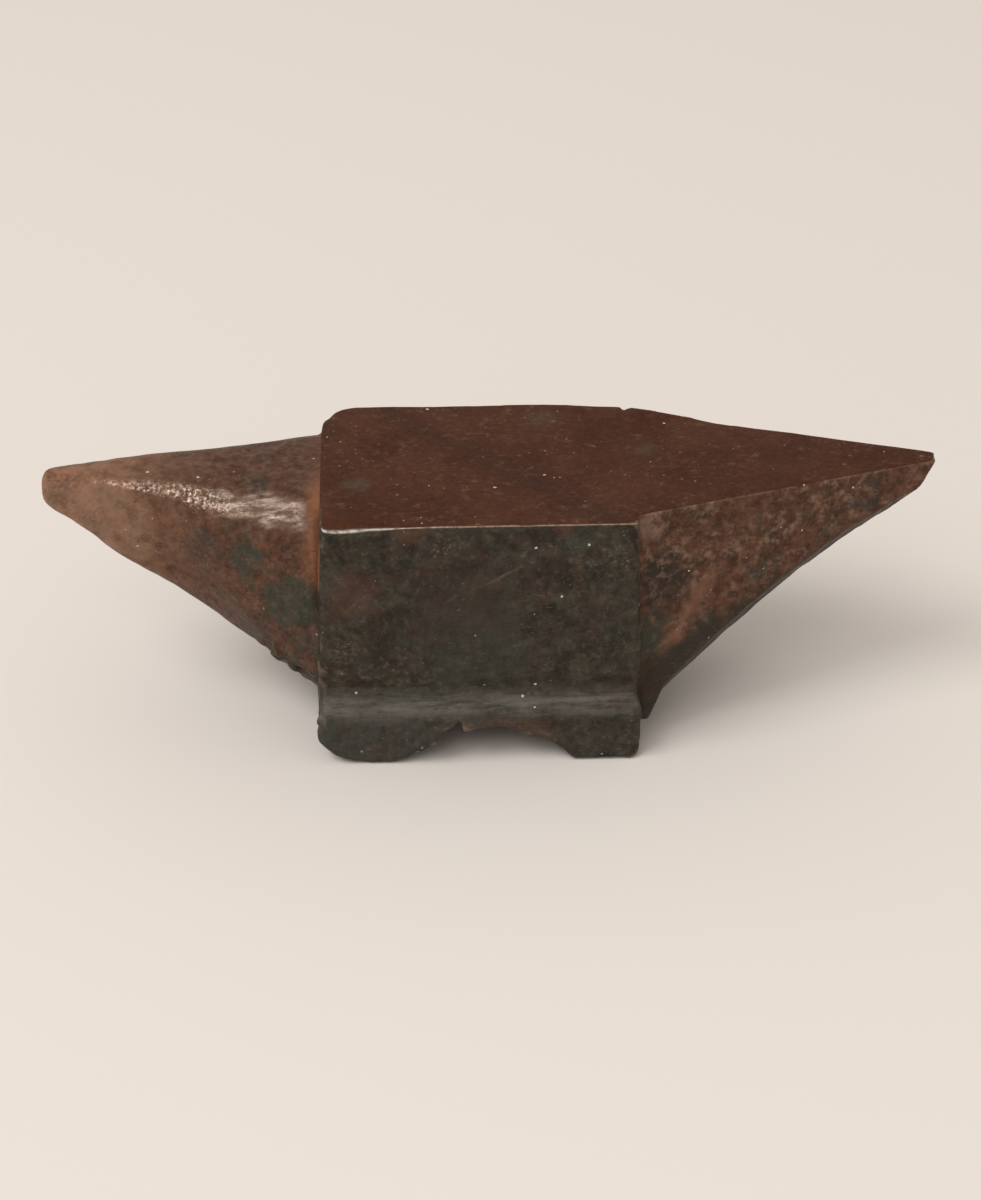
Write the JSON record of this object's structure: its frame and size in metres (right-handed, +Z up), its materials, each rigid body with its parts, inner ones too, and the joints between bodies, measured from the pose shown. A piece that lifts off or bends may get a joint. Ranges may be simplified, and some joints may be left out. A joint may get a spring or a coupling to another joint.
{
  "type": "anvil",
  "caption": "Small blacksmith's anvil: square block body with a steel face, a rounded horn at one end, a square pointed heel at the other, and an arched base on corner feet.",
  "frame": {"origin": "on the ground, at the centre of the whole anvil seen from above", "axes": "+X along the anvil from the horn to the heel, +Z up out of the face, +Y to the rear"},
  "size_m": [0.296, 0.0896, 0.089],
  "materials": {
    "body_iron": "forged wrought iron with a dark grey-green oxide skin and brown rust",
    "face_steel": "worn smooth steel under an even reddish-brown rust patina",
    "beak_iron": "forged wrought iron with mottled brown rust, pitted",
    "foot_iron": "forged wrought iron, dark grey-green, rusty under the arches"
  },
  "bodies": {
    "root": {"core_block": "body_iron", "face_plate": "face_steel", "horn": "beak_iron", "heel": "beak_iron", "foot_front_left": "foot_iron", "foot_front_right": "foot_iron", "foot_rear_left": "foot_iron", "foot_rear_right": "foot_iron"}
  },
  "joints": []
}
